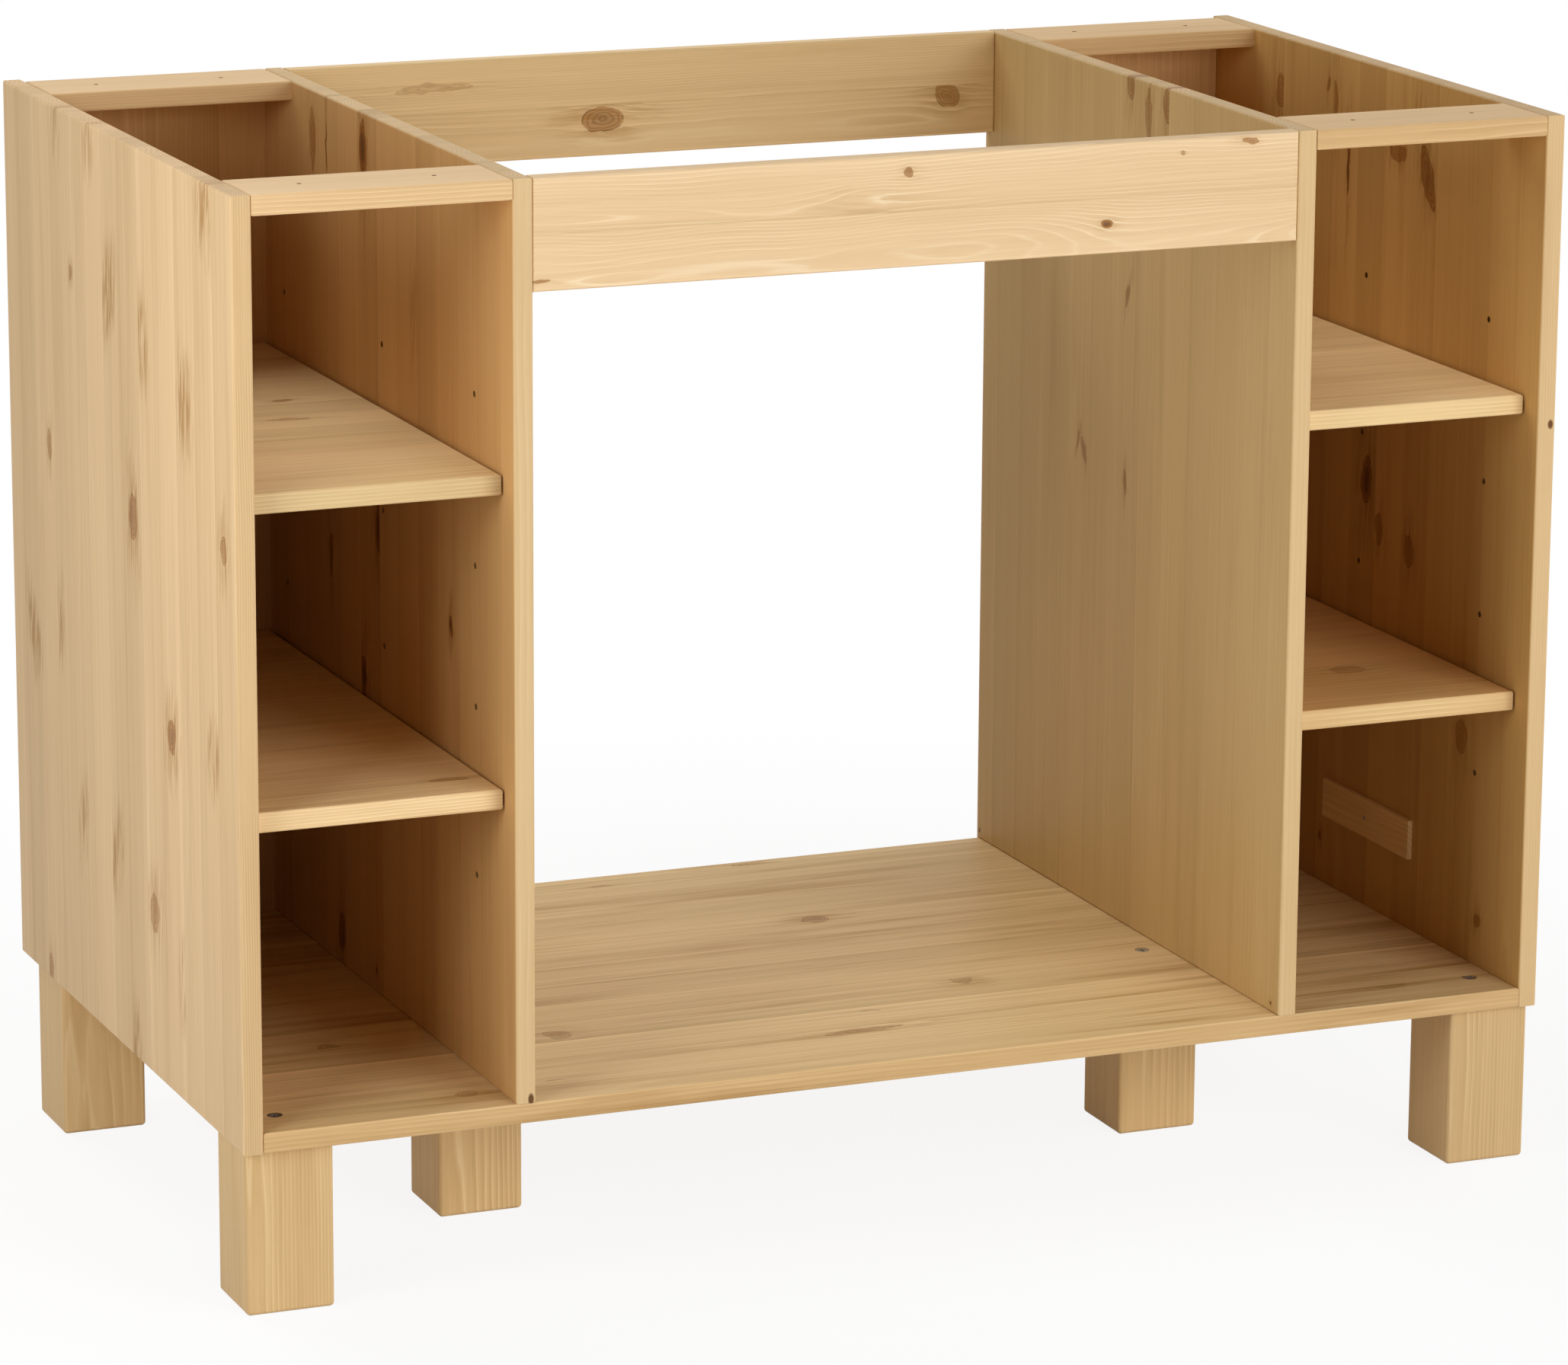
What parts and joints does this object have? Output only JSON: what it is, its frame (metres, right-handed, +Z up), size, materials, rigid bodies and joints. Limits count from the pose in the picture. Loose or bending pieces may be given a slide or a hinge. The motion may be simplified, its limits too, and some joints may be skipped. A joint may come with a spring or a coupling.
{
  "type": "stove base cabinet",
  "caption": "Free-standing pine base cabinet for a built-in oven and hob: open niche between dividers, loose shelves in bays at both sides, rails for a worktop, square legs.",
  "frame": {"origin": "centre of the outline's footprint, on the floor", "axes": "+X to the right seen from the front, +Y from the front to the back, +Z up"},
  "size_m": [1.1, 0.6, 0.86],
  "materials": {
    "pine_board": "satin lacquer",
    "pine_leg": "satin lacquer",
    "thin_panel": "satin lacquer",
    "plain_strip": "raw sanded",
    "beech_dowel": "raw turned",
    "zinc_steel": "bright zinc plate"
  },
  "bodies": {
    "carcass": {"apron_dowels": "beech_dowel", "back_apron": "pine_board", "back_left_leg": "pine_leg", "back_panel_nails": "zinc_steel", "back_right_leg": "pine_leg", "bottom_dowels": "beech_dowel", "bottom_panel": "pine_board", "divider_dowels": "beech_dowel", "front_apron": "pine_board", "front_left_leg": "pine_leg", "front_right_leg": "pine_leg", "left_back_panel": "thin_panel", "left_back_rail": "pine_board", "left_divider": "pine_board", "left_front_rail": "pine_board", "left_lower_shelf_supports": "zinc_steel", "left_side_panel": "pine_board", "left_upper_shelf_supports": "zinc_steel", "leg_screws": "zinc_steel", "middle_left_leg": "pine_leg", "middle_right_leg": "pine_leg", "rail_dowels": "beech_dowel", "right_back_panel": "thin_panel", "right_back_rail": "pine_board", "right_divider": "pine_board", "right_front_rail": "pine_board", "right_lower_shelf_supports": "zinc_steel", "right_side_panel": "pine_board", "right_upper_shelf_supports": "zinc_steel", "side_strip": "plain_strip", "side_strip_nail": "zinc_steel"},
    "left_lower_shelf": {"left_lower_shelf": "pine_board"},
    "left_upper_shelf": {"left_upper_shelf": "pine_board"},
    "right_lower_shelf": {"right_lower_shelf": "pine_board"},
    "right_upper_shelf": {"right_upper_shelf": "pine_board"}
  },
  "joints": [
    {"name": "left_lower_shelf_pull", "type": "slide", "parent": "carcass", "child": "left_lower_shelf", "axis": [0, -1, 0], "range_m": [0, 0.2]},
    {"name": "left_upper_shelf_pull", "type": "slide", "parent": "carcass", "child": "left_upper_shelf", "axis": [0, -1, 0], "range_m": [0, 0.2]},
    {"name": "right_lower_shelf_pull", "type": "slide", "parent": "carcass", "child": "right_lower_shelf", "axis": [0, -1, 0], "range_m": [0, 0.2]},
    {"name": "right_upper_shelf_pull", "type": "slide", "parent": "carcass", "child": "right_upper_shelf", "axis": [0, -1, 0], "range_m": [0, 0.2]}
  ]
}
